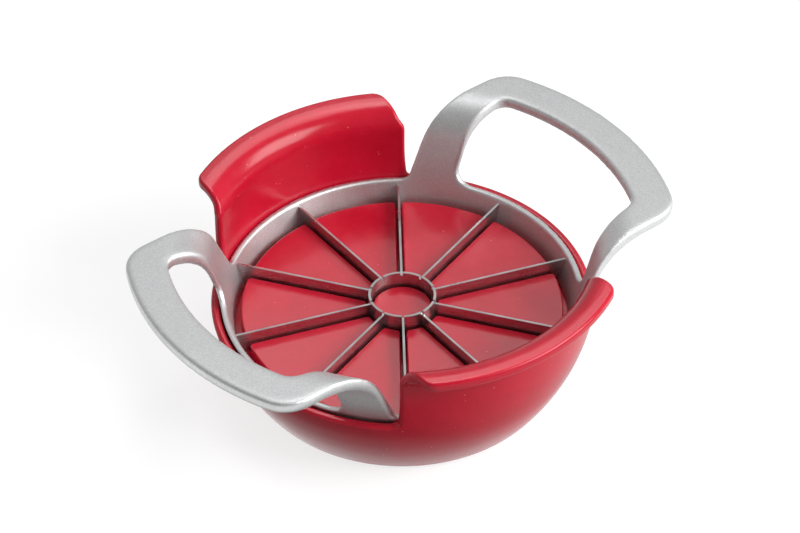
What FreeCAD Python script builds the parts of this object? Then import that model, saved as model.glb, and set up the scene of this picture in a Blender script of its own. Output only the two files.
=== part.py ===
import FreeCAD, Part
import math
import os
import Sketcher
from types import SimpleNamespace

# A hand-pressed fruit wedger: a cast frame with ten blades and a core ring
# sits down into a moulded bowl. Millimetres, +Z up, handles along X.
# The origin is the centre of the foot, on the table.

BLADES = 10
OUT = "parts"

# How far an outline that cuts runs past the face it opens, short and long
OVERSHOOT = 1.0
CLEAR = 10.0
# Lengths closer than this are equal, and faces that turn less meet smoothly
SAME = 0.01
SMOOTH_TURN = 0.3

# Driving sizes in millimetres, and one angle in degrees
SIZES = {
    # Bowl: heights
    "rim_height": 29.0,  # table to the rim in the handle notches
    "belly_height": 41.2,  # height where the belly arc turns upright
    "lip_rise": 27.4,  # top of the lips above the rim
    "ledge_drop": 10.0,  # seat of the frame below the rim
    "floor_thick": 3.0,  # floor under the seat
    "pad_height": 5.5,  # press pads above the seat
    "pad_skin": 2.4,  # top wall of a cored press pad
    # Bowl: radii and walls
    "wall_radius": 63.2,  # outer radius of the upright wall
    "belly_radius": 70.0,  # radius of the belly arc
    "wall_thick": 2.8,  # bowl wall
    "foot_width": 5.4,  # foot ring, before its outer edge is rounded
    "foot_round": 4.0,  # rounding of the foot's outer edge
    "lip_radius": 72.0,  # outer radius of the lips
    "lip_thick": 3.6,  # lip at its outer edge
    "lip_top_round": 8.5,  # roll from the inner wall onto the lip
    "lip_under_round": 5.0,  # hollow under the lip
    "lip_corner": 5.0,  # corners of a lip seen from above
    "lip_inset": 1.0,  # end of a lip, back from the end of its wall
    "shoulder_top": 1.0,  # top of the shoulder at a wall's end, below the lip
    "shoulder_drop": 2.5,  # height over which the shoulder draws in to the lip
    "shoulder_round": 3.0,  # bends of the shoulder
    "notch_round": 2.0,  # inside corners of the notches
    "bowl_edge": 1.15,  # rounding of the bowl's free edges
    "pad_corner_round": 1.2,  # upright corners of the press pads
    "pad_edge_round": 0.5,  # top edges of the press pads
    "rib_wall": 1.8,  # walls between the cored press pads
    # Cast frame
    "wall_lean": 16.0,  # lean of the frame's wall, degrees
    "ring_rise": 1.0,  # ring top above the bowl's rim
    "ring_wall": 2.0,  # ring wall, measured level
    "handle_rise": 27.9,  # top of the handles above the rim
    "handle_thick": 4.6,  # thickness of the handle bar
    "handle_top_round": 15.0,  # bend from the wall onto the handle, upper face
    "handle_under_round": 15.0,  # bend on the lower face
    "handle_reach": 89.0,  # centre to the end of a handle
    "handle_half": 44.8,  # half width of a handle
    "handle_corner": 12.0,  # outer corners of a handle
    "bar_width": 13.3,  # grip bar across a handle's end
    "leg_width": 11.1,  # legs of a handle
    "window_corner": 5.2,  # outer corners of the finger window
    "root_round": 2.0,  # outer roots of the legs, on the ring
    "window_root": 6.0,  # lower corners of the finger window
    "cast_edge": 0.4,  # rounding of the casting's edges
    "ring_edge": 0.5,  # rounding of the ring's lower edges
    # Blades and core ring
    "blade_thick": 0.7,  # blade strip
    "blade_height": 8.5,  # blade strip, edge to back
    "bevel_height": 2.0,  # ground bevel of a blade
    "edge_land": 0.1,  # width left at a cutting edge
    "tang_depth": 1.0,  # blade tang inside the ring wall
    "tab_height": 6.0,  # blade tab that enters the core ring
    "core_radius": 11.0,  # outer radius of the core ring
    "core_wall": 0.8,  # core ring wall
    "core_over": 1.0,  # core ring above the blades
    # Clearances
    "ring_gap": 0.4,  # bowl wall to the frame's ring
    "notch_gap": 2.0,  # handle leg to the side of a lobe
    "pad_gap": 1.6,  # press pads to the frame's ring
    "slot_gap": 0.7,  # blade to the sides of its slot in the pads
    "edge_gap": 1.0,  # cutting edge above the bottom of its slot
    "seat_gap": 0.05,  # blade to the sides of its seat
}

doc = FreeCAD.newDocument("fruit_wedger")
sheet = doc.addObject("Spreadsheet::Sheet", "Sizes")


class Dim:
    """A size that carries its number and the sheet expression behind it."""

    def __init__(self, value, text):
        self.value = float(value)
        self.text = text

    def __add__(self, other):
        other = as_dim(other)
        return Dim(self.value + other.value, f"({self.text} + {other.text})")

    def __sub__(self, other):
        other = as_dim(other)
        return Dim(self.value - other.value, f"({self.text} - {other.text})")

    def __mul__(self, other):
        other = as_dim(other)
        return Dim(self.value * other.value, f"({self.text} * {other.text})")

    def __truediv__(self, other):
        other = as_dim(other)
        return Dim(self.value / other.value, f"({self.text} / {other.text})")

    def __neg__(self):
        return Dim(-self.value, f"(0 - {self.text})")


def as_dim(number):
    """Wrap a plain number, so that it can stand beside a named size."""
    return number if isinstance(number, Dim) else Dim(number, repr(float(number)))


def root(size):
    """Square root of a size."""
    return Dim(math.sqrt(size.value), f"sqrt({size.text})")


def tangent(angle):
    """Tangent of an angle in degrees."""
    return Dim(math.tan(math.radians(angle.value)), f"tan({angle.text})")


def fill_sheet():
    """Put every driving size in the sheet under its name, and hand them back."""
    sizes = {}
    for row, (name, value) in enumerate(SIZES.items(), start=1):
        sheet.set(f"A{row}", name.replace("_", " "))
        sheet.set(f"B{row}", str(value))
        sheet.setAlias(f"B{row}", name)
        sizes[name] = Dim(value, f"Sizes.{name}")
    return SimpleNamespace(**sizes)


S = fill_sheet()
ZERO = as_dim(0)
HALF = as_dim(0.5)

# Levels that follow from the sizes
lip_top = S.rim_height + S.lip_rise
lip_under = lip_top - S.lip_thick
ledge = S.rim_height - S.ledge_drop
floor_under = ledge - S.floor_thick
pad_top = ledge + S.pad_height
ring_top = S.rim_height + S.ring_rise
handle_top = S.rim_height + S.handle_rise
handle_under = handle_top - S.handle_thick
blade_edge = ledge + S.edge_gap
blade_top = blade_edge + S.blade_height
core_top = blade_top + S.core_over
above_all = handle_top + CLEAR

# The belly is an arc about a centre beyond the axis, at the belly's height
belly_centre = S.wall_radius - S.belly_radius


def belly_at(height, inset):
    """Radius of the belly arc at a height, a wall's inset in from the outside."""
    arc = S.belly_radius - inset
    drop = S.belly_height - height
    return belly_centre + root(arc * arc - drop * drop)


wall_inner = S.wall_radius - S.wall_thick
foot_outer = belly_at(ZERO, ZERO)
foot_inner = foot_outer - S.foot_width
rim_inner = belly_at(S.rim_height, S.wall_thick)

# The frame's wall is a leaning band that clears the bowl at the ring's top
ring_top_outer = belly_at(ring_top, S.wall_thick) - S.ring_gap


def frame_wall(height, inset):
    """Radius of the leaning wall's outside at a height, less an inset."""
    return ring_top_outer + (height - ring_top) * tangent(S.wall_lean) - inset


pad_radius = frame_wall(ledge, S.ring_wall) - S.pad_gap
slot_half = S.blade_thick * HALF + S.slot_gap
core_inner = S.core_radius - S.core_wall
lobe_side = S.handle_half + S.notch_gap
lobe_half = root(wall_inner * wall_inner - lobe_side * lobe_side)
lip_half = lobe_half - S.lip_inset
shoulder_high = lip_under - S.shoulder_top
shoulder_low = shoulder_high - S.shoulder_drop
window_reach = S.handle_reach - S.bar_width
window_half = S.handle_half - S.leg_width
seat_width = S.blade_thick + S.seat_gap * 2
tab_low = blade_top - S.tab_height


def new_body(name):
    """A body of its own, labelled with the node's name."""
    body = doc.addObject("PartDesign::Body", name)
    body.Label = name
    return body


def new_sketch(body, plane, name, height=None):
    """A sketch on one of the body's origin planes, lifted if a height is given."""
    sketch = body.newObject("Sketcher::SketchObject", name)
    support = [f for f in body.Origin.OriginFeatures if f.Role == plane][0]
    sketch.AttachmentSupport = [(support, "")]
    sketch.MapMode = "FlatFace"
    if height is not None:
        sketch.setExpression("AttachmentOffset.Base.z", height.text)
    return sketch


def bind(sketch, constraint, size):
    """Add a driving constraint and tie its value to the sheet."""
    index = sketch.addConstraint(constraint)
    sketch.setExpression(f"Constraints[{index}]", size.text)


def place_vertex(sketch, geo, pos, x, y):
    """Hold one vertex at named distances from the sketch's origin."""
    for kind, axis, size in (("DistanceX", -2, x), ("DistanceY", -1, y)):
        if abs(size.value) < 1e-9:
            sketch.addConstraint(Sketcher.Constraint("PointOnObject", geo, pos, axis))
        elif size.value > 0:
            bind(sketch, Sketcher.Constraint(kind, -1, 1, geo, pos, size.value), size)
        else:
            flipped = -size
            bind(sketch, Sketcher.Constraint(kind, geo, pos, -1, 1, flipped.value), flipped)


def at(x, y):
    """A sketch point as a vector."""
    return FreeCAD.Vector(as_dim(x).value, as_dim(y).value, 0)


def corner_points(before, corner, after, radius):
    """Where a rounding of the given radius leaves the two sides of a corner."""
    here = at(*corner)
    back = at(*before).sub(here).normalize()
    on = at(*after).sub(here).normalize()
    half = back.getAngle(on) / 2
    reach = radius.value / math.tan(half)
    centre = here.add(back.add(on).normalize().multiply(radius.value / math.sin(half)))
    return here.add(back.multiply(reach)), centre, here.add(on.multiply(reach))


def arc_between(start, end, centre, radius):
    """An arc about a centre from start to end, the short way round."""
    first = math.atan2(start.y - centre.y, start.x - centre.x)
    last = math.atan2(end.y - centre.y, end.x - centre.x)
    turn = (last - first + math.pi) % (2 * math.pi) - math.pi
    circle = Part.Circle(centre, FreeCAD.Vector(0, 0, 1), radius)
    if turn > 0:
        return Part.ArcOfCircle(circle, first, first + turn), 1, 2
    return Part.ArcOfCircle(circle, first + turn, first), 2, 1


def draw_loop(sketch, corners):
    """A closed outline. Each corner is x, y, a rounding or None, and the arc
    that leads on to the next corner, as centre x, centre y, radius, or None."""
    count = len(corners)
    ends = []
    for i in range(count):
        x, y, rounding, _ = corners[i]
        if rounding is None:
            ends.append((at(x, y), at(x, y), None))
            continue
        before = corners[i - 1][:2]
        after = corners[(i + 1) % count][:2]
        first, centre, last = corner_points(before, (x, y), after, rounding)
        ends.append((first, last, centre))
    sides = []
    for i in range(count):
        start = ends[i][1]
        stop = ends[(i + 1) % count][0]
        bulge = corners[i][3]
        if bulge is None:
            sides.append((sketch.addGeometry(Part.LineSegment(start, stop)), 1, 2))
            continue
        centre_x, centre_y, radius = bulge
        arc, head, tail = arc_between(start, stop, at(centre_x, centre_y), radius.value)
        geo = sketch.addGeometry(arc)
        bind(sketch, Sketcher.Constraint("Radius", geo, radius.value), radius)
        sides.append((geo, head, tail))
    for i in range(count):
        x, y, rounding, _ = corners[i]
        come, _, come_end = sides[i - 1]
        leave, leave_start, _ = sides[i]
        first, last, centre = ends[i]
        if rounding is None:
            sketch.addConstraint(
                Sketcher.Constraint("Coincident", come, come_end, leave, leave_start))
            place_vertex(sketch, leave, leave_start, as_dim(x), as_dim(y))
            continue
        arc, head, tail = arc_between(first, last, centre, rounding.value)
        geo = sketch.addGeometry(arc)
        sketch.addConstraint(Sketcher.Constraint("Tangent", come, come_end, geo, head))
        sketch.addConstraint(Sketcher.Constraint("Tangent", geo, tail, leave, leave_start))
        bind(sketch, Sketcher.Constraint("Radius", geo, rounding.value), rounding)
        point = sketch.addGeometry(Part.Point(at(x, y)), True)
        sketch.addConstraint(Sketcher.Constraint("PointOnObject", point, 1, come))
        sketch.addConstraint(Sketcher.Constraint("PointOnObject", point, 1, leave))
        place_vertex(sketch, point, 1, as_dim(x), as_dim(y))


def draw_band(sketch, reach, half, corner):
    """Both handles in one outline: round ends about the origin, straight
    sides, and rounded corners between them."""
    corner_y = half - corner
    corner_x = root((reach - corner) * (reach - corner) - corner_y * corner_y)
    share = reach / (reach - corner)
    origin = at(0, 0)
    joints = []
    for side_x, side_y in ((1, 1), (-1, 1), (-1, -1), (1, -1)):
        centre = at(corner_x * side_x, corner_y * side_y)
        on_end = FreeCAD.Vector(centre).multiply(share.value)
        on_side = at(corner_x * side_x, half * side_y)
        joints.append((centre, on_end, on_side))
    ends = []
    for left, right in ((3, 0), (1, 2)):
        arc, head, tail = arc_between(joints[left][1], joints[right][1], origin, reach.value)
        geo = sketch.addGeometry(arc)
        sketch.addConstraint(Sketcher.Constraint("Coincident", geo, 3, -1, 1))
        bind(sketch, Sketcher.Constraint("Radius", geo, reach.value), reach)
        ends.append((geo, head, tail))
    sides = []
    for left, right, sign in ((0, 1, 1), (2, 3, -1)):
        geo = sketch.addGeometry(Part.LineSegment(joints[left][2], joints[right][2]))
        sketch.addConstraint(Sketcher.Constraint("Horizontal", geo))
        low = (-1, 1, geo, 1) if sign > 0 else (geo, 1, -1, 1)
        bind(sketch, Sketcher.Constraint("DistanceY", *low, half.value), half)
        sides.append(geo)
    links = ((0, ends[0][0], ends[0][2], sides[0], 1),
             (1, ends[1][0], ends[1][1], sides[0], 2),
             (2, ends[1][0], ends[1][2], sides[1], 1),
             (3, ends[0][0], ends[0][1], sides[1], 2))
    for index, end_geo, end_pos, side_geo, side_pos in links:
        centre, on_end, on_side = joints[index]
        arc, head, tail = arc_between(on_end, on_side, centre, corner.value)
        geo = sketch.addGeometry(arc)
        sketch.addConstraint(Sketcher.Constraint("Tangent", end_geo, end_pos, geo, head))
        sketch.addConstraint(Sketcher.Constraint("Tangent", side_geo, side_pos, geo, tail))
        bind(sketch, Sketcher.Constraint("Radius", geo, corner.value), corner)


def draw_circle(sketch, radius):
    """A full circle about the sketch's origin."""
    circle = Part.Circle(at(0, 0), FreeCAD.Vector(0, 0, 1), radius.value)
    geo = sketch.addGeometry(circle)
    sketch.addConstraint(Sketcher.Constraint("Coincident", geo, 3, -1, 1))
    bind(sketch, Sketcher.Constraint("Radius", geo, radius.value), radius)


def revolve(body, sketch, name):
    """Turn a profile once round the upright axis."""
    feature = body.newObject("PartDesign::Revolution", name)
    feature.Profile = sketch
    feature.ReferenceAxis = (sketch, ["V_Axis"])
    feature.Angle = 360
    body.Tip = feature
    doc.recompute()
    return feature


def cut(body, sketch, name, length=None, both=False, flip=False):
    """Pocket a sketch: through all, or to a length, and make sure that it cuts."""
    before = body.Shape.Volume
    pocket = body.newObject("PartDesign::Pocket", name)
    pocket.Profile = sketch
    pocket.Midplane = both
    pocket.Reversed = flip
    if length is None:
        pocket.Type = "ThroughAll"
    else:
        pocket.Type = "Length"
        pocket.setExpression("Length", length.text)
    body.Tip = pocket
    doc.recompute()
    if body.Shape.Volume > before - 1e-6:
        raise RuntimeError(f"{name} cuts nothing")
    return pocket


def repeat_round(body, feature, name):
    """Repeat a cut for every blade, round the upright axis."""
    before = body.Shape.Volume
    pattern = body.newObject("PartDesign::PolarPattern", name)
    pattern.Originals = [feature]
    upright = [f for f in body.Origin.OriginFeatures if f.Role == "Z_Axis"][0]
    pattern.Axis = (upright, [""])
    pattern.Angle = 360
    pattern.Occurrences = BLADES
    body.Tip = pattern
    doc.recompute()
    if body.Shape.Volume > before - 1e-6:
        raise RuntimeError(f"{name} cuts nothing")
    return pattern


def extrude_both(body, sketch, name, width):
    """Pad a sketch to a width, half to each side of its plane."""
    pad = body.newObject("PartDesign::Pad", name)
    pad.Profile = sketch
    pad.Midplane = True
    pad.setExpression("Length", width.text)
    body.Tip = pad
    doc.recompute()
    return pad


def is_sharp(shape, edge):
    """Whether the two faces that meet at an edge turn by more than a little."""
    faces = shape.ancestorsOfType(edge, Part.Face)
    if len(faces) < 2:
        return False
    middle = edge.valueAt((edge.FirstParameter + edge.LastParameter) / 2)
    first, second = [f.normalAt(*f.Surface.parameter(middle)) for f in faces[:2]]
    return first.getAngle(second) > SMOOTH_TURN


def round_edges(body, name, radius, wanted):
    """Round every edge that the test picks out of the body so far."""
    base = body.Tip
    names = [f"Edge{i + 1}" for i, edge in enumerate(base.Shape.Edges) if wanted(edge)]
    if not names:
        raise RuntimeError(f"{name} finds no edge")
    fillet = body.newObject("PartDesign::Fillet", name)
    fillet.Base = (base, names)
    fillet.setExpression("Radius", radius.text)
    body.Tip = fillet
    doc.recompute()
    return fillet


def near(a, b):
    """Equal, as far as a length needs to be."""
    return abs(a - as_dim(b).value) < SAME


def flat_at(edge, height):
    """An edge that lies level at a height."""
    box = edge.BoundBox
    return near(box.ZMin, height) and near(box.ZMax, height)


def radius_of(edge):
    """Radius of a level round edge about the upright axis, or zero."""
    curve = edge.Curve
    if curve.TypeId != "Part::GeomCircle":
        return 0
    centre = curve.Center
    return curve.Radius if abs(centre.x) + abs(centre.y) < SAME else 0


def is_upright(edge):
    """A straight edge along the upright axis."""
    box = edge.BoundBox
    return box.XLength < SAME and box.YLength < SAME and box.ZLength > SAME


def make_bowl():
    """The moulded bowl: two lobes with rolled lips, and slotted press pads."""
    body = new_body("base_bowl")
    profile = new_sketch(body, "XZ_Plane", "bowl_profile")
    groove_in = core_inner - S.slot_gap
    groove_out = S.core_radius + S.slot_gap
    outer_arc = (belly_centre, S.belly_height, S.belly_radius)
    inner_arc = (belly_centre, S.belly_height, S.belly_radius - S.wall_thick)
    draw_loop(profile, [
        (foot_inner, ZERO, None, None),
        (foot_outer, ZERO, None, outer_arc),
        (S.wall_radius, S.belly_height, None, None),
        (S.wall_radius, lip_under, S.lip_under_round, None),
        (S.lip_radius, lip_under, None, None),
        (S.lip_radius, lip_top, None, None),
        (wall_inner, lip_top, S.lip_top_round, None),
        (wall_inner, S.belly_height, None, inner_arc),
        (belly_at(ledge, S.wall_thick), ledge, None, None),
        (pad_radius, ledge, None, None),
        (pad_radius, pad_top, None, None),
        (groove_out, pad_top, None, None),
        (groove_out, ledge, None, None),
        (groove_in, ledge, None, None),
        (groove_in, pad_top, None, None),
        (ZERO, pad_top, None, None),
        (ZERO, floor_under, None, None),
        (foot_inner, floor_under, None, None),
    ])
    revolve(body, profile, "bowl_turned")

    slot = new_sketch(body, "XY_Plane", "slot_outline", pad_top)
    groove_mid = (groove_in + groove_out) * HALF
    slot_end = pad_radius + S.pad_gap
    draw_loop(slot, [
        (-slot_half, groove_mid, None, None),
        (slot_half, groove_mid, None, None),
        (slot_half, slot_end, None, None),
        (-slot_half, slot_end, None, None),
    ])
    first = cut(body, slot, "blade_slot", S.pad_height)
    repeat_round(body, first, "blade_slots")

    notch = new_sketch(body, "XZ_Plane", "notch_outline")
    beyond = S.lip_radius + CLEAR
    for side in (1, -1):
        draw_loop(notch, [
            (lobe_half * side, S.rim_height, None, None),
            (beyond * side, S.rim_height, None, None),
            (beyond * side, above_all, None, None),
            (lip_half * side, above_all, None, None),
            (lip_half * side, shoulder_high, S.shoulder_round, None),
            (lobe_half * side, shoulder_low, S.shoulder_round, None),
        ])
    cut(body, notch, "handle_notches", both=True)

    core = new_sketch(body, "XY_Plane", "pad_core_outline", floor_under)
    step = math.pi / BLADES
    side_off = slot_half + S.rib_wall
    inner_r = groove_out + S.rib_wall
    outer_r = foot_inner
    points = []
    for reach, sign in ((inner_r, -1), (outer_r, -1), (outer_r, 1), (inner_r, 1)):
        along = root(reach * reach - side_off * side_off)
        x = along * math.cos(step) + side_off * math.sin(step)
        y = (along * math.sin(step) - side_off * math.cos(step)) * sign
        points.append((x, y))
    draw_loop(core, [
        (*points[0], None, None),
        (*points[1], None, (ZERO, ZERO, outer_r)),
        (*points[2], None, None),
        (*points[3], None, (ZERO, ZERO, inner_r)),
    ])
    depth = pad_top - S.pad_skin - floor_under
    first = cut(body, core, "pad_core", depth, flip=True)
    repeat_round(body, first, "pad_cores")

    hub = new_sketch(body, "XY_Plane", "hub_core_outline", floor_under)
    draw_circle(hub, groove_in - S.rib_wall)
    cut(body, hub, "hub_core", depth, flip=True)

    def pad_corner(edge):
        box = edge.BoundBox
        return is_upright(edge) and near(box.ZMin, ledge) and near(box.ZMax, pad_top)

    def foot_rim(edge):
        return flat_at(edge, ZERO) and near(radius_of(edge), foot_outer)

    def notch_corner(edge):
        box = edge.BoundBox
        across = box.XLength < SAME and near(abs(box.Center.x), lobe_half)
        return across and flat_at(edge, S.rim_height)

    def lip_end(edge):
        box = edge.BoundBox
        return is_upright(edge) and near(box.ZMin, lip_under) and near(box.ZMax, lip_top)

    def free_edge(edge):
        box = edge.BoundBox
        radius = radius_of(edge)
        if flat_at(edge, S.rim_height):
            return near(radius, rim_inner) or near(radius, belly_at(S.rim_height, ZERO))
        if flat_at(edge, lip_top) or flat_at(edge, lip_under):
            return near(radius, S.lip_radius)
        if box.XMin * box.XMax < 0 or box.ZMin < S.rim_height.value - SAME:
            return False
        inner, outer = sorted((abs(box.XMin), abs(box.XMax)))
        on_end = inner > lip_half.value - SAME and outer < lobe_half.value + SAME
        return on_end and is_sharp(body.Tip.Shape, edge)

    round_edges(body, "pad_corners", S.pad_corner_round, pad_corner)
    round_edges(body, "pad_edges", S.pad_edge_round, lambda edge: flat_at(edge, pad_top))
    round_edges(body, "foot_edge", S.foot_round, foot_rim)
    round_edges(body, "notch_corners", S.notch_round, notch_corner)
    round_edges(body, "lip_corners", S.lip_corner, lip_end)
    round_edges(body, "bowl_edges", S.bowl_edge, free_edge)
    return body


def make_frame():
    """The casting: a leaning ring that rises into two looped handles."""
    body = new_body("cast_frame")
    profile = new_sketch(body, "XZ_Plane", "frame_profile")
    draw_loop(profile, [
        (frame_wall(ledge, S.ring_wall), ledge, None, None),
        (frame_wall(ledge, ZERO), ledge, None, None),
        (frame_wall(handle_under, ZERO), handle_under, S.handle_under_round, None),
        (S.handle_reach + OVERSHOOT, handle_under, None, None),
        (S.handle_reach + OVERSHOOT, handle_top, None, None),
        (frame_wall(handle_top, S.ring_wall), handle_top, S.handle_top_round, None),
    ])
    revolve(body, profile, "frame_turned")

    roots = new_sketch(body, "YZ_Plane", "leg_root_outline")
    legs_low = ring_top + S.window_root + OVERSHOOT
    draw_loop(roots, [
        (-window_half, ring_top, S.window_root, None),
        (window_half, ring_top, S.window_root, None),
        (window_half, legs_low, None, None),
        (-window_half, legs_low, None, None),
    ])
    for side in (1, -1):
        draw_loop(roots, [
            (S.handle_half * side, ring_top, S.root_round, None),
            (S.handle_reach * side, ring_top, None, None),
            (S.handle_reach * side, legs_low, None, None),
            (S.handle_half * side, legs_low, None, None),
        ])
    cut(body, roots, "leg_roots", both=True)

    trim = new_sketch(body, "XY_Plane", "handle_outline", legs_low)
    draw_band(trim, S.handle_reach, S.handle_half, S.handle_corner)
    draw_circle(trim, S.handle_reach + CLEAR)
    cut(body, trim, "handle_trim", flip=True)

    window = new_sketch(body, "XY_Plane", "window_outline", legs_low)
    draw_band(window, window_reach, window_half, S.window_corner)
    cut(body, window, "finger_windows", flip=True)

    def handle_edge(edge):
        above = edge.BoundBox.ZMax > ring_top.value - SAME
        return above and is_sharp(body.Tip.Shape, edge)

    round_edges(body, "cast_edges", S.cast_edge, handle_edge)
    round_edges(body, "ring_foot", S.ring_edge, lambda edge: flat_at(edge, ledge))

    seat = new_sketch(body, "YZ_Plane", "tang_seat_outline")
    inside = frame_wall(ledge, S.ring_wall) - OVERSHOOT * 2
    seat_low = ledge - OVERSHOOT
    seat_high = blade_top + S.seat_gap
    draw_loop(seat, [
        (inside, seat_low, None, None),
        (frame_wall(seat_low, S.ring_wall) + S.tang_depth, seat_low, None, None),
        (frame_wall(seat_high, S.ring_wall) + S.tang_depth, seat_high, None, None),
        (inside, seat_high, None, None),
    ])
    first = cut(body, seat, "tang_seat", seat_width, both=True)
    repeat_round(body, first, "tang_seats")
    return body


def make_core_ring():
    """The tube that cuts out the core, slotted for the blades' tabs."""
    body = new_body("core_ring")
    profile = new_sketch(body, "XZ_Plane", "core_profile")
    draw_loop(profile, [
        (core_inner, blade_edge, None, None),
        (core_inner + S.edge_land, blade_edge, None, None),
        (S.core_radius, blade_edge + S.bevel_height, None, None),
        (S.core_radius, core_top, None, None),
        (core_inner, core_top, None, None),
    ])
    revolve(body, profile, "core_turned")
    slot = new_sketch(body, "XZ_Plane", "tab_slot_outline")
    seat_half = seat_width * HALF
    slot_top = core_top + OVERSHOOT
    draw_loop(slot, [
        (-seat_half, tab_low, None, None),
        (seat_half, tab_low, None, None),
        (seat_half, slot_top, None, None),
        (-seat_half, slot_top, None, None),
    ])
    first = cut(body, slot, "tab_slot", S.core_radius + OVERSHOOT)
    repeat_round(body, first, "tab_slots")
    return body


def make_blade(index):
    """One blade strip: a tang in the frame, a tab in the core ring, and a
    cutting edge ground from both sides. Blades stand evenly round the axis."""
    name = f"blade_{index + 1:02d}"
    body = new_body(name)
    outline = new_sketch(body, "XZ_Plane", f"{name}_outline")
    inner_end = S.core_radius + S.seat_gap
    draw_loop(outline, [
        (inner_end, blade_edge, None, None),
        (frame_wall(blade_edge, S.ring_wall) + S.tang_depth, blade_edge, None, None),
        (frame_wall(blade_top, S.ring_wall) + S.tang_depth, blade_top, None, None),
        (core_inner, blade_top, None, None),
        (core_inner, tab_low, None, None),
        (inner_end, tab_low, None, None),
    ])
    extrude_both(body, outline, f"{name}_strip", S.blade_thick)
    ground = new_sketch(body, "YZ_Plane", f"{name}_bevels")
    face = S.blade_thick * HALF
    tip = S.edge_land * HALF
    beyond = face + OVERSHOOT
    bevel_top = blade_edge + S.bevel_height
    below = blade_edge - OVERSHOOT
    for side in (1, -1):
        draw_loop(ground, [
            (tip * side, blade_edge, None, None),
            (face * side, bevel_top, None, None),
            (beyond * side, bevel_top, None, None),
            (beyond * side, below, None, None),
            (tip * side, below, None, None),
        ])
    cut(body, ground, f"{name}_grind", both=True)
    turn = 90 + index * 360 / BLADES
    body.Placement = FreeCAD.Placement(
        FreeCAD.Vector(0, 0, 0), FreeCAD.Rotation(FreeCAD.Vector(0, 0, 1), turn))
    return body


nodes = [make_bowl(), make_frame(), make_core_ring()]
nodes += [make_blade(index) for index in range(BLADES)]

# Nothing is written unless every object and every solid is sound
doc.recompute()
for item in doc.Objects:
    if "Invalid" in item.State or "Error" in item.State:
        raise RuntimeError(f"{item.Name} failed: {item.State}")
for node in nodes:
    if node.Shape.isNull() or not node.Shape.isValid():
        raise RuntimeError(f"{node.Label} has no sound shape")

os.makedirs(OUT, exist_ok=True)
for node in nodes:
    node.Shape.exportStep(f"{OUT}/{node.Label}.step")
    print(node.Label, round(node.Shape.Volume), "mm3 in", len(node.Shape.Solids), "solid")
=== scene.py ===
# %% [markdown]
# ## The wedger, ready for its finish
# The real tool is three things: a glossy moulded bowl, a light-metal casting
# with two looped handles, and a star of thin steel blades round a core ring.
# Their shapes are already fixed to the millimetre, so they are loaded as they
# are. What is left to make is the handles' soft edges, the light and the
# finishes. Blender measures in metres, so each length is so many times MM.

import math

import bpy
from mathutils import Matrix, Vector


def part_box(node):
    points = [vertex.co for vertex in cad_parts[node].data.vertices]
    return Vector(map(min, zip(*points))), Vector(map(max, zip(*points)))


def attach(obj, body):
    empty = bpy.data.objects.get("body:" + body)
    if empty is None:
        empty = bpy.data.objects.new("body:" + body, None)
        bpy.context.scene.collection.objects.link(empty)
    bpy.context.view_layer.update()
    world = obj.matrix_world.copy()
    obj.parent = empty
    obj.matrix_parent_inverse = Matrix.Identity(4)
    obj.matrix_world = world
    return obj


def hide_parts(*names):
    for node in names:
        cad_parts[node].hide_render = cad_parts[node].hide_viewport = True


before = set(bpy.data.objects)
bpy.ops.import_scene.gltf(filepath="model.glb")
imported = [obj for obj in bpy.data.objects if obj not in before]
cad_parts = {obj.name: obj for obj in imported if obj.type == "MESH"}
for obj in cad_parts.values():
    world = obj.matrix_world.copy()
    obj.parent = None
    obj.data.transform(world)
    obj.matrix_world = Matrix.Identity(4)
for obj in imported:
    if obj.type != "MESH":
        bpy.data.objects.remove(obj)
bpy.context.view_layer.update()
bpy.ops.object.select_all(action="DESELECT")

MM = 0.001

# %% [markdown]
# ## The camera
# The photograph was taken with a long lens from about a metre away, so the
# handles hardly shrink with distance. The camera's direction, distance and
# lens were worked out from the rims and handles. It aims at the middle of the
# bowl's rim, and is then slid sideways and upwards by some pixels of its
# picture, so that the tool stands in the frame as it does there.

# %% Set up the camera
RIM_HEIGHT = 29 * MM
VIEW_AZIMUTH = math.radians(-37.3025)
VIEW_ELEVATION = math.radians(41.3855)
VIEW_DISTANCE = 1101.67 * MM
PICTURE_WIDTH = 800
SENSOR_WIDTH = 36
FOCAL_PIXELS = 3400.79
SLIDE_RIGHT = 2.270
SLIDE_UP = 28.772

back = Vector((math.sin(VIEW_AZIMUTH) * math.cos(VIEW_ELEVATION),
               -math.cos(VIEW_AZIMUTH) * math.cos(VIEW_ELEVATION),
               math.sin(VIEW_ELEVATION)))
right = Vector((math.cos(VIEW_AZIMUTH), math.sin(VIEW_AZIMUTH), 0))
up = back.cross(right)
pixel = VIEW_DISTANCE / FOCAL_PIXELS
aim = Vector((0, 0, RIM_HEIGHT)) - right * SLIDE_RIGHT * pixel + up * SLIDE_UP * pixel

bpy.ops.object.camera_add()
camera = bpy.context.object
camera.name = "photo_camera"
camera.matrix_world = Matrix.Translation(aim + back * VIEW_DISTANCE) @ Matrix(
    (right, up, back)).transposed().to_4x4()
camera.data.sensor_width = SENSOR_WIDTH
camera.data.lens = FOCAL_PIXELS * SENSOR_WIDTH / PICTURE_WIDTH
bpy.context.scene.camera = camera
bpy.context.scene.view_settings.view_transform = "Standard"
print("lens", round(camera.data.lens, 1), "mm at", round(VIEW_DISTANCE, 3), "m")

# %% [markdown]
# ## Helpers for every material
# The table, the room and the finishes are all built from shader nodes. Placing
# and linking nodes one by one takes several lines each, so these short helpers
# do it, and what is left to read below is what each node is for.

# %% Helpers for materials
def new_material(name):
    """An empty node material with its output, ready for a shader."""
    material = bpy.data.materials.new(name)
    material.use_nodes = True
    material.node_tree.nodes.clear()
    output = material.node_tree.nodes.new("ShaderNodeOutputMaterial")
    return material, material.node_tree, output


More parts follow.
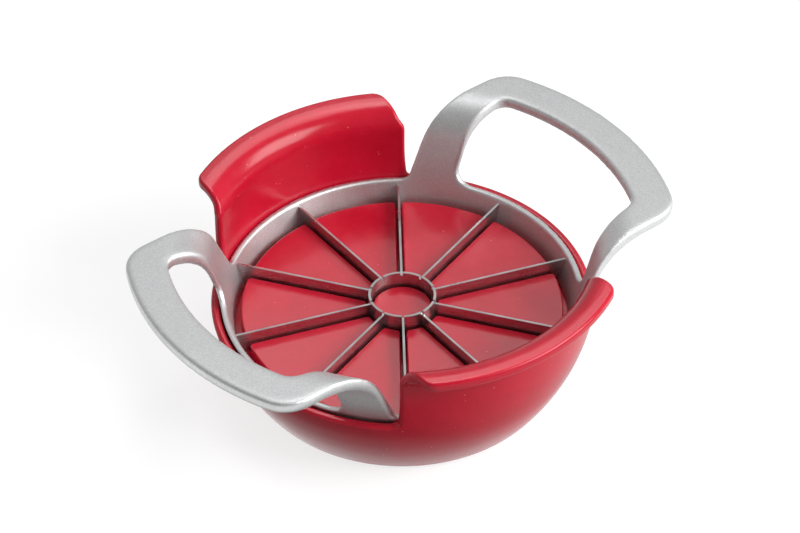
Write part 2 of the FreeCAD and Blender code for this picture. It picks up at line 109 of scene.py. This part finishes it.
def add(tree, kind, **settings):
    """Put a node in a tree and set its sockets and options by name."""
    node = tree.nodes.new(kind)
    for name, value in settings.items():
        socket = name.replace("_", " ")
        if socket in node.inputs:
            node.inputs[socket].default_value = value
        else:
            setattr(node, name, value)
    return node


def join(tree, *pairs):
    """Link sockets, each pair from an output to an input."""
    for start, stop in pairs:
        tree.links.new(start, stop)


def ramp(tree, value, low, high, to_low, to_high):
    """Carry a value from one range to another, and hold it at the ends."""
    node = add(tree, "ShaderNodeMapRange", From_Min=low, From_Max=high,
               To_Min=to_low, To_Max=to_high)
    join(tree, (value, node.inputs["Value"]))
    return node.outputs["Result"]


def maths(tree, operation, first, second):
    """One sum on two values, each a socket or a number."""
    node = add(tree, "ShaderNodeMath", operation=operation)
    for socket, value in zip(node.inputs, (first, second)):
        if isinstance(value, (int, float)):
            socket.default_value = value
        else:
            join(tree, (value, socket))
    return node.outputs[0]


print("helpers", [helper.__name__ for helper in (new_material, add, join, ramp, maths)])

# %% [markdown]
# ## The white table
# The photograph has a white ground, and the bowl stands on it with hardly a
# shadow. A plain white floor would lay a milky veil over the red bowl, and the
# real one has none. What the surfaces mirror tells more. The handles' outer
# edges mirror white, the bowl's foot mirrors a pale band, and between them the
# bowl's front mirrors almost nothing, except on its right. So the table glows
# white to the camera, and in mirrors it glows with a painted reflection: a dim
# ring of painted shade round the bowl, open on the right, standing in for the
# shadow near it. Each band says from where to where the mirrored light changes,
# and how strong it is at its two ends.

# %% Paint the table
TABLE_PAINT = 0.32
TABLE_WHITE = 0.76
TABLE_SIZE = 8
FOOT_MIRROR = (53 * MM, 72 * MM, 1.15, 0.18)
FAR_MIRROR = (95 * MM, 130 * MM, 0.18, 1.2)
RIGHT_MIRROR = (0 * MM, 100 * MM, 0.18, 1.2)
DISTANT = (240 * MM, 480 * MM, 1.0, 0.6)

table_white, tree, output = new_material("table_white")
place = add(tree, "ShaderNodeNewGeometry").outputs["Position"]
across = add(tree, "ShaderNodeVectorMath", operation="DOT_PRODUCT")
across.inputs[1].default_value = right
away = add(tree, "ShaderNodeVectorMath", operation="LENGTH")
join(tree, (place, across.inputs[0]), (place, away.inputs[0]))
# The mirror bands are a painted reflection: the table glows in mirrors, with a dim ring of
# painted shade round the bowl.
mirrored = ramp(tree, away.outputs["Value"], *FOOT_MIRROR)
for source, band in ((away, FAR_MIRROR), (across, RIGHT_MIRROR)):
    mirrored = maths(tree, "MAXIMUM", mirrored, ramp(tree, source.outputs["Value"], *band))
mirrored = maths(tree, "MULTIPLY", mirrored, ramp(tree, away.outputs["Value"], *DISTANT))

path = add(tree, "ShaderNodeLightPath")
in_mirror = maths(tree, "MULTIPLY", path.outputs["Is Glossy Ray"], mirrored)
in_camera = maths(tree, "MULTIPLY", path.outputs["Is Camera Ray"], TABLE_WHITE)
glow = add(tree, "ShaderNodeEmission")
paint = add(tree, "ShaderNodeBsdfDiffuse")
coat = ramp(tree, path.outputs["Is Glossy Ray"], 0, 1, TABLE_PAINT, 0)
both = add(tree, "ShaderNodeAddShader")
join(tree,
     (maths(tree, "ADD", in_mirror, in_camera), glow.inputs["Strength"]),
     (coat, paint.inputs["Color"]),
     (paint.outputs[0], both.inputs[0]),
     (glow.outputs[0], both.inputs[1]),
     (both.outputs[0], output.inputs["Surface"]))

bpy.ops.mesh.primitive_plane_add(size=TABLE_SIZE, location=(0, 0, 0))
table = bpy.context.object
table.name = "table"
table.data.materials.append(table_white)
print("the table's mirror bands start at", FOOT_MIRROR[0] / MM, "and", FAR_MIRROR[0] / MM, "mm")

# %% [markdown]
# ## The room
# The flat tops of the handles are pale and their steep legs are grey, so a
# mirror on the tool sees a dim room behind the camera and a bright one beyond
# the bowl. A studio could hang a grey cloth and a white one. Here the world's
# light slopes from one to the other for mirrors only. It lights dull surfaces
# evenly, and the camera sees it as plain white.

# %% Light the room
ROOM_LIGHT = 0.54
ROOM_WHITE = 1
ROOM_MIRROR = (-0.6, 0.75, 0.33, 0.76)

room = bpy.data.worlds.new("white_room")
bpy.context.scene.world = room
room.use_nodes = True
tree = room.node_tree
tree.nodes.clear()
output = add(tree, "ShaderNodeOutputWorld")
air = add(tree, "ShaderNodeBackground")
path = add(tree, "ShaderNodeLightPath")
beyond = add(tree, "ShaderNodeVectorMath", operation="DOT_PRODUCT")
beyond.inputs[1].default_value = Vector((-back.x, -back.y, 0)).normalized()
join(tree, (add(tree, "ShaderNodeTexCoord").outputs["Generated"], beyond.inputs[0]))
mirrored = ramp(tree, beyond.outputs["Value"], *ROOM_MIRROR)
mirror_add = maths(tree, "SUBTRACT", mirrored, ROOM_LIGHT)
in_mirror = maths(tree, "MULTIPLY", path.outputs["Is Glossy Ray"], mirror_add)
in_camera = maths(tree, "MULTIPLY", path.outputs["Is Camera Ray"], ROOM_WHITE - ROOM_LIGHT)
light = maths(tree, "ADD", maths(tree, "ADD", in_mirror, in_camera), ROOM_LIGHT)
join(tree, (light, air.inputs["Strength"]), (air.outputs[0], output.inputs["Surface"]))
print("the room lights at", ROOM_LIGHT)

# %% [markdown]
# ## Three soft lamps
# The key lamp stands to the right of the camera. It lights the bowl's front
# and inner wall, and draws the thin bright line along the handles' edges. The
# top lamp, high beyond the bowl, makes the handles' flat tops a little paler.
# The sheen lamp is a broad soft panel beyond the bowl. It puts the pale sheen
# on the lips and the pads, so it is linked to the bowl alone, and it adds
# nothing to the dull part of the plastic's colour.

# %% Hang the lamps
def soft_lamp(name, azimuth, elevation, distance, size, power):
    """A square soft lamp that looks at the bowl from a direction in degrees."""
    turn, lift = math.radians(azimuth), math.radians(elevation)
    away = Vector((math.sin(turn) * math.cos(lift),
                   -math.cos(turn) * math.cos(lift),
                   math.sin(lift)))
    bpy.ops.object.light_add(type="AREA", location=away * distance)
    lamp = bpy.context.object
    lamp.name = name
    lamp.rotation_euler = away.to_track_quat("Z", "Y").to_euler()
    lamp.data.size = size
    lamp.data.energy = power
    return lamp


soft_lamp("key_lamp", azimuth=38, elevation=32, distance=1.2, size=0.75, power=17)
soft_lamp("top_lamp", azimuth=140, elevation=75, distance=1.4, size=0.5, power=3)
sheen = soft_lamp("sheen_lamp", azimuth=140, elevation=66, distance=1.3, size=1.1, power=18)
sheen.visible_diffuse = False
moulded = bpy.data.collections.new("moulded_plastic")
moulded.objects.link(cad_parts["base_bowl"])
sheen.light_linking.receiver_collection = moulded

# %% [markdown]
# ## The casting's full-round handles
# The handles of the real casting have no flat side edge: the whole thickness of
# the bar is rounded, as a casting is after it has been tumbled. A bevel would
# stop where the bar bends and gets thin. So a copy of the casting's shape is
# turned into an even skin of small faces, and the skin relaxes where the bar
# is. Thin wall and ring keep their thickness, because the relaxing fades out
# between the heights BAR_START and WALL_END, below the bend.

# %% Helpers for the casting
WELD = MM / 1000


def copy_node(node, name):
    """A piece of its own with a CAD node's shape, its loose faces joined up."""
    mesh = node.data.copy()
    mesh.name = name
    piece = bpy.data.objects.new(name, mesh)
    bpy.context.collection.objects.link(piece)
    bpy.ops.object.select_all(action="DESELECT")
    bpy.context.view_layer.objects.active = piece
    piece.select_set(True)
    bpy.ops.object.mode_set(mode="EDIT")
    bpy.ops.mesh.select_all(action="SELECT")
    bpy.ops.mesh.remove_doubles(threshold=WELD)
    bpy.ops.object.mode_set(mode="OBJECT")
    bpy.ops.mesh.customdata_custom_splitnormals_clear()
    return piece


def apply_modifier(piece, kind, **settings):
    """Add a modifier with its settings and apply it."""
    modifier = piece.modifiers.new(kind.lower(), kind)
    for name, value in settings.items():
        setattr(modifier, name, value)
    bpy.ops.object.modifier_apply(modifier=modifier.name)


casting = copy_node(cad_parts["cast_frame"], "casting")
print("the copied casting has", len(casting.data.polygons), "faces")

# %% Round the handles
SKIN = 0.55 * MM
WALL_END = 44 * MM
BAR_START = 50 * MM
RELAX = 0.5
ROUNDING_PASSES = 36
SKIN_PASSES = 3

apply_modifier(casting, "REMESH", mode="VOXEL", voxel_size=SKIN, use_smooth_shade=True)
bar = casting.vertex_groups.new(name="bar")
for vertex in casting.data.vertices:
    share = (vertex.co.z - WALL_END) / (BAR_START - WALL_END)
    bar.add([vertex.index], min(max(share, 0), 1), "REPLACE")
apply_modifier(casting, "SMOOTH", factor=RELAX, iterations=ROUNDING_PASSES, vertex_group="bar")
apply_modifier(casting, "SMOOTH", factor=RELAX, iterations=SKIN_PASSES)
bpy.ops.object.shade_smooth()
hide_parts("cast_frame")
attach(casting, "slicer")
print("the rounded casting has", len(casting.data.polygons), "faces")

# %% [markdown]
# ## Effects that the finishes share
# Four things happen to surfaces like these. Moulds, sand and grinding leave a
# fine grain. Hands and water leave soft smudges that dull the shine. Edges get
# rubbed first. Here and there sits a speck or a pit. Each is a node group, built
# once, and each material gives it its own size and strength.

# %% Helpers for the effects
VECTOR = "NodeSocketVector"
FLOAT = "NodeSocketFloat"


def new_group(name, inputs, outputs):
    """A shader node group with named inputs and outputs."""
    group = bpy.data.node_groups.new(name, "ShaderNodeTree")
    for socket, kind, value in inputs:
        made = group.interface.new_socket(socket, in_out="INPUT", socket_type=kind)
        if value is not None:
            made.default_value = value
    for socket in outputs:
        group.interface.new_socket(socket, in_out="OUTPUT", socket_type=FLOAT)
    return group, group.nodes.new("NodeGroupInput"), group.nodes.new("NodeGroupOutput")


def shrink(tree, place, size):
    """Divide a position by a size, so that one unit is one grain."""
    node = add(tree, "ShaderNodeVectorMath", operation="SCALE")
    join(tree, (place, node.inputs[0]), (maths(tree, "DIVIDE", 1.0, size), node.inputs["Scale"]))
    return node.outputs[0]


def noise(tree, place, **settings):
    """Smooth noise at a position."""
    node = add(tree, "ShaderNodeTexNoise", **settings)
    join(tree, (place, node.inputs["Vector"]))
    return node.outputs["Fac"]


print("helpers", [helper.__name__ for helper in (new_group, shrink, noise)])

# %% Fine grain
BROAD_SHARE = 0.6

fine_grain, given, result = new_group(
    "fine_grain", [("Place", VECTOR, None), ("Size", FLOAT, 0.5 * MM)],
    ["Height", "Tone", "PaintedGlint"])
grains = shrink(fine_grain, given.outputs["Place"], given.outputs["Size"])
fine = noise(fine_grain, grains, Scale=1.0, Detail=3.0, Roughness=0.6)
broad = noise(fine_grain, grains, Scale=0.21, Detail=2.0)
# The cells pick single grains whose paler colour is a painted glint.
cells = add(fine_grain, "ShaderNodeTexVoronoi", Scale=1.3)
shade = add(fine_grain, "ShaderNodeSeparateColor")
height = maths(fine_grain, "ADD", fine, maths(fine_grain, "MULTIPLY", broad, BROAD_SHARE))
join(fine_grain,
     (grains, cells.inputs["Vector"]),
     (cells.outputs["Color"], shade.inputs[0]),
     (height, result.inputs["Height"]),
     (ramp(fine_grain, fine, 0.3, 0.7, 0, 1), result.inputs["Tone"]),
     (ramp(fine_grain, shade.outputs[0], 0.55, 1.0, 0, 1), result.inputs["PaintedGlint"]))
print("fine_grain has", len(fine_grain.nodes), "nodes")

# %% Smudges
LARGE_SHARE = 0.7
SMALL_SHARE = 0.3

smudges, given, result = new_group(
    "smudges", [("Place", VECTOR, None), ("Size", FLOAT, 14 * MM)], ["Smudge"])
spots = shrink(smudges, given.outputs["Place"], given.outputs["Size"])
large = noise(smudges, spots, Scale=1.0, Detail=4.0, Distortion=0.6)
small = noise(smudges, spots, Scale=5.3, Detail=3.0)
mixed = maths(smudges, "ADD", maths(smudges, "MULTIPLY", large, LARGE_SHARE),
              maths(smudges, "MULTIPLY", small, SMALL_SHARE))
join(smudges, (ramp(smudges, mixed, 0.38, 0.64, 0, 1), result.inputs["Smudge"]))
print("smudges has", len(smudges.nodes), "nodes")

# %% Worn edges
PATCH = 4 * MM

worn_edges, given, result = new_group(
    "worn_edges", [("Place", VECTOR, None), ("Reach", FLOAT, 0.7 * MM)], ["Edge"])
soft = add(worn_edges, "ShaderNodeBevel", samples=6)
flat = add(worn_edges, "ShaderNodeNewGeometry")
turn = add(worn_edges, "ShaderNodeVectorMath", operation="DOT_PRODUCT")
patches = shrink(worn_edges, given.outputs["Place"], PATCH)
rubbed = noise(worn_edges, patches, Scale=1.0, Detail=4.0)
join(worn_edges,
     (given.outputs["Reach"], soft.inputs["Radius"]),
     (soft.outputs["Normal"], turn.inputs[0]),
     (flat.outputs["Normal"], turn.inputs[1]))
bend = maths(worn_edges, "SUBTRACT", 1.0, turn.outputs["Value"])
bent = ramp(worn_edges, bend, 0.005, 0.09, 0, 1)
uneven = ramp(worn_edges, rubbed, 0.3, 0.62, 0.25, 1)
join(worn_edges, (maths(worn_edges, "MULTIPLY", bent, uneven), result.inputs["Edge"]))
print("worn_edges has", len(worn_edges.nodes), "nodes")

# %% Specks
specks, given, result = new_group(
    "specks", [("Place", VECTOR, None), ("Size", FLOAT, 2.4 * MM), ("Share", FLOAT, 0.2)],
    ["Speck"])
dots = add(specks, "ShaderNodeTexVoronoi", Scale=1.0)
lot = add(specks, "ShaderNodeSeparateColor")
join(specks,
     (shrink(specks, given.outputs["Place"], given.outputs["Size"]), dots.inputs["Vector"]),
     (dots.outputs["Color"], lot.inputs[0]))
chosen = maths(specks, "LESS_THAN", lot.outputs[1], given.outputs["Share"])
spot = ramp(specks, dots.outputs["Distance"], 0.06, 0.13, 1, 0)
join(specks, (maths(specks, "MULTIPLY", chosen, spot), result.inputs["Speck"]))
print("specks has", len(specks.nodes), "nodes")

# %% [markdown]
# ## How a finish is put together
# Each finish is one shader. Its colour starts as a mix of two close tones, and
# each effect then tints it by a small share. Smudges and rubbed edges also move
# its roughness, and the grain raises it by some hundredths of a millimetre.

# %% Helpers for the finishes
def use(tree, group, place, **settings):
    """Put a shared effect in a material at a position, with its own values."""
    node = tree.nodes.new("ShaderNodeGroup")
    node.node_tree = group
    for name, value in settings.items():
        node.inputs[name].default_value = value
    join(tree, (place, node.inputs["Place"]))
    return node


def blend(tree, mask, first, second):
    """Mix two colours by a mask. Either is a colour or a socket."""
    node = add(tree, "ShaderNodeMix", data_type="RGBA")
    sockets = [node.inputs[6], node.inputs[7]]
    for socket, colour in zip(sockets, (first, second)):
        if isinstance(colour, tuple):
            socket.default_value = (*colour, 1)
        else:
            join(tree, (colour, socket))
    join(tree, (mask, node.inputs[0]))
    return node.outputs[2]


def tint(tree, colour, mask, share, tone):
    """Pull a colour towards a tone where a mask is bright, by a share at most."""
    return blend(tree, maths(tree, "MULTIPLY", mask, share), colour, tone)


def finish_with(name, **settings):
    """A principled material, its shader and the object's own coordinates."""
    material, tree, output = new_material(name)
    shader = add(tree, "ShaderNodeBsdfPrincipled", **settings)
    place = add(tree, "ShaderNodeTexCoord").outputs["Object"]
    join(tree, (shader.outputs[0], output.inputs["Surface"]))
    return material, tree, shader, place


def bump(tree, shader, height, strength, depth):
    """Raise a height pattern on the surface."""
    node = add(tree, "ShaderNodeBump", Strength=strength, Distance=depth)
    join(tree, (height, node.inputs["Height"]), (node.outputs[0], shader.inputs["Normal"]))


print("helpers", [helper.__name__ for helper in (use, blend, tint, finish_with, bump)])

# %% [markdown]
# ## Red moulded plastic
# The bowl is a deep red plastic, dyed through and moulded glossy. It is nearly
# as smooth as its mould, so its grain is faint. Its rims are a little paler,
# partly from rubbing and partly as a painted sheen along the edges, and tiny
# pale motes sit on it. Its mirror is weaker than a plain plastic's, because the
# photograph shows the red through it almost everywhere.

# %% Finish the bowl
RED_DEEP = (0.46, 0.0038, 0.0205)
RED_SMUDGED = (0.52, 0.0052, 0.0260)
RED_GRAIN = (0.75, 0.05, 0.07)
RED_WEAR_AND_SHEEN = (0.70, 0.05, 0.08)
RED_MOTE = (0.80, 0.22, 0.24)

bowl_red, tree, shader, place = finish_with("bowl_red", Specular_IOR_Level=0.28)
grain = use(tree, fine_grain, place, Size=0.45 * MM)
marks = use(tree, smudges, place, Size=16 * MM)
edges = use(tree, worn_edges, place, Reach=0.8 * MM)
motes = use(tree, specks, place, Size=2.6 * MM, Share=0.16)
colour = blend(tree, marks.outputs[0], RED_DEEP, RED_SMUDGED)
colour = tint(tree, colour, grain.outputs["Tone"], 0.10, RED_GRAIN)
# Rims are tinted paler partly from wear and partly as a painted sheen along the edges.
colour = tint(tree, colour, edges.outputs[0], 0.35, RED_WEAR_AND_SHEEN)
colour = tint(tree, colour, motes.outputs[0], 0.45, RED_MOTE)
shine = maths(tree, "ADD", ramp(tree, marks.outputs[0], 0, 1, 0.19, 0.27),
              maths(tree, "MULTIPLY", edges.outputs[0], 0.08))
join(tree, (colour, shader.inputs["Base Color"]), (shine, shader.inputs["Roughness"]))
bump(tree, shader, grain.outputs["Height"], 0.12, 0.05 * MM)
print("bowl_red has", len(tree.nodes), "nodes")

# %% [markdown]
# ## Cast light metal
# The casting is blasted and tumbled: pale, satin and grainy, with single
# grains painted paler as a painted glint. Its edges are rubbed paler and a little
# smoother, and a few small dark spots are painted shade standing in for the pits
# left from casting. It is bare metal, so its colour is the colour of its mirror,
# and a high roughness makes it satin.

# %% Finish the casting
CAST_DARK = (0.60, 0.605, 0.61)
CAST_PALE = (0.74, 0.745, 0.75)
CAST_SMUDGED = (0.58, 0.585, 0.585)
CAST_PAINTED_GLINT = (0.90, 0.90, 0.90)
CAST_RUBBED = (0.82, 0.825, 0.83)
CAST_PIT_SHADE = (0.30, 0.30, 0.30)

cast_satin, tree, shader, place = finish_with("cast_satin", Metallic=1.0)
grain = use(tree, fine_grain, place, Size=0.42 * MM)
marks = use(tree, smudges, place, Size=22 * MM)
edges = use(tree, worn_edges, place, Reach=1.1 * MM)
pit_shade = use(tree, specks, place, Size=3.0 * MM, Share=0.22)
colour = blend(tree, grain.outputs["Tone"], CAST_DARK, CAST_PALE)
colour = tint(tree, colour, marks.outputs[0], 0.30, CAST_SMUDGED)
# Single grains are tinted paler as a painted glint.
colour = tint(tree, colour, grain.outputs["PaintedGlint"], 0.35, CAST_PAINTED_GLINT)
colour = tint(tree, colour, edges.outputs[0], 0.40, CAST_RUBBED)
# Small dark spots are painted shade, standing in for the shade inside casting pits.
colour = tint(tree, colour, pit_shade.outputs[0], 0.35, CAST_PIT_SHADE)
shine = maths(tree, "SUBTRACT", ramp(tree, marks.outputs[0], 0, 1, 0.47, 0.56),
              maths(tree, "MULTIPLY", edges.outputs[0], 0.05))
join(tree, (colour, shader.inputs["Base Color"]), (shine, shader.inputs["Roughness"]))
bump(tree, shader, grain.outputs["Height"], 0.35, 0.06 * MM)
print("cast_satin has", len(tree.nodes), "nodes")

# %% [markdown]
# ## Brushed stainless steel
# The photograph doesn't show the blades or the core ring. They are taken to be
# rolled strip, brushed along its length, with the lower edge of each blade
# ground across to a bevel. Noise that is drawn out one way gives the
# brushing, and the same noise turned gives the grinding.
# The strips point outwards and the ring goes round, so the length along the
# metal is the distance from the middle plus a share of the angle round it.

# %% Brush marks and grinding marks
BEVEL_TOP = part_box("blade_01")[0].z + 2 * MM
BEVEL_BLUR = 0.1 * MM
BRUSH_LENGTH = 9 * MM
BRUSH_WIDTH = 0.16 * MM
TURN_LENGTH = 11 * MM

blade_ground, tree, shader, place = finish_with("blade_ground", Metallic=1.0)
axes = add(tree, "ShaderNodeSeparateXYZ")
join(tree, (place, axes.inputs[0]))
x, y, z = axes.outputs
squares = maths(tree, "ADD", maths(tree, "MULTIPLY", x, x), maths(tree, "MULTIPLY", y, y))
radius = maths(tree, "SQRT", squares, 0)
around = maths(tree, "MULTIPLY", maths(tree, "ARCTAN2", y, x), TURN_LENGTH)
along = maths(tree, "ADD", radius, around)


def strokes(along_length, across_length):
    """Noise drawn out into strokes along or across the strip."""
    stretched = add(tree, "ShaderNodeCombineXYZ")
    join(tree,
         (maths(tree, "DIVIDE", along, along_length), stretched.inputs["X"]),
         (maths(tree, "DIVIDE", z, across_length), stretched.inputs["Y"]))
    return noise(tree, stretched.outputs[0], Scale=1.0, Detail=2.0)


brushed = strokes(BRUSH_LENGTH, BRUSH_WIDTH)
ground = strokes(BRUSH_WIDTH, BRUSH_LENGTH)
on_bevel = ramp(tree, z, BEVEL_TOP - BEVEL_BLUR, BEVEL_TOP + BEVEL_BLUR, 1, 0)
mix = add(tree, "ShaderNodeMix", data_type="FLOAT")
join(tree, (on_bevel, mix.inputs[0]), (brushed, mix.inputs[2]), (ground, mix.inputs[3]))
lines = mix.outputs[0]
print("the bevel ends at", round(BEVEL_TOP / MM, 1), "mm")

# %% Finish the blades
STEEL_DARK = (0.50, 0.505, 0.51)
STEEL_PALE = (0.68, 0.685, 0.69)
STEEL_SMUDGED = (0.52, 0.515, 0.50)
STEEL_BEVEL = (0.80, 0.80, 0.81)
STEEL_RUBBED = (0.85, 0.85, 0.85)

marks = use(tree, smudges, place, Size=9 * MM)
edges = use(tree, worn_edges, place, Reach=0.25 * MM)
colour = blend(tree, ramp(tree, lines, 0.3, 0.7, 0, 1), STEEL_DARK, STEEL_PALE)
colour = tint(tree, colour, marks.outputs[0], 0.25, STEEL_SMUDGED)
colour = tint(tree, colour, on_bevel, 0.5, STEEL_BEVEL)
colour = tint(tree, colour, edges.outputs[0], 0.5, STEEL_RUBBED)
shine = maths(tree, "ADD", ramp(tree, lines, 0.3, 0.7, 0.22, 0.36),
              maths(tree, "MULTIPLY", marks.outputs[0], 0.08))
join(tree, (colour, shader.inputs["Base Color"]), (shine, shader.inputs["Roughness"]))
bump(tree, shader, lines, 0.25, 0.02 * MM)
print("blade_ground has", len(tree.nodes), "nodes")

# %% [markdown]
# ## Every piece gets its finish
# The shapes came with one slot each, named after what the piece is made of. The
# finish goes into that slot, so no piece is listed by hand.

# %% Give every piece its finish
FINISH = {"bowl_plastic": bowl_red, "cast_metal": cast_satin, "blade_steel": blade_ground}
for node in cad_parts.values():
    node.material_slots[0].material = FINISH[node.data.materials[0].name]
casting.material_slots[0].material = cast_satin
print("finishes on", len(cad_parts), "pieces")
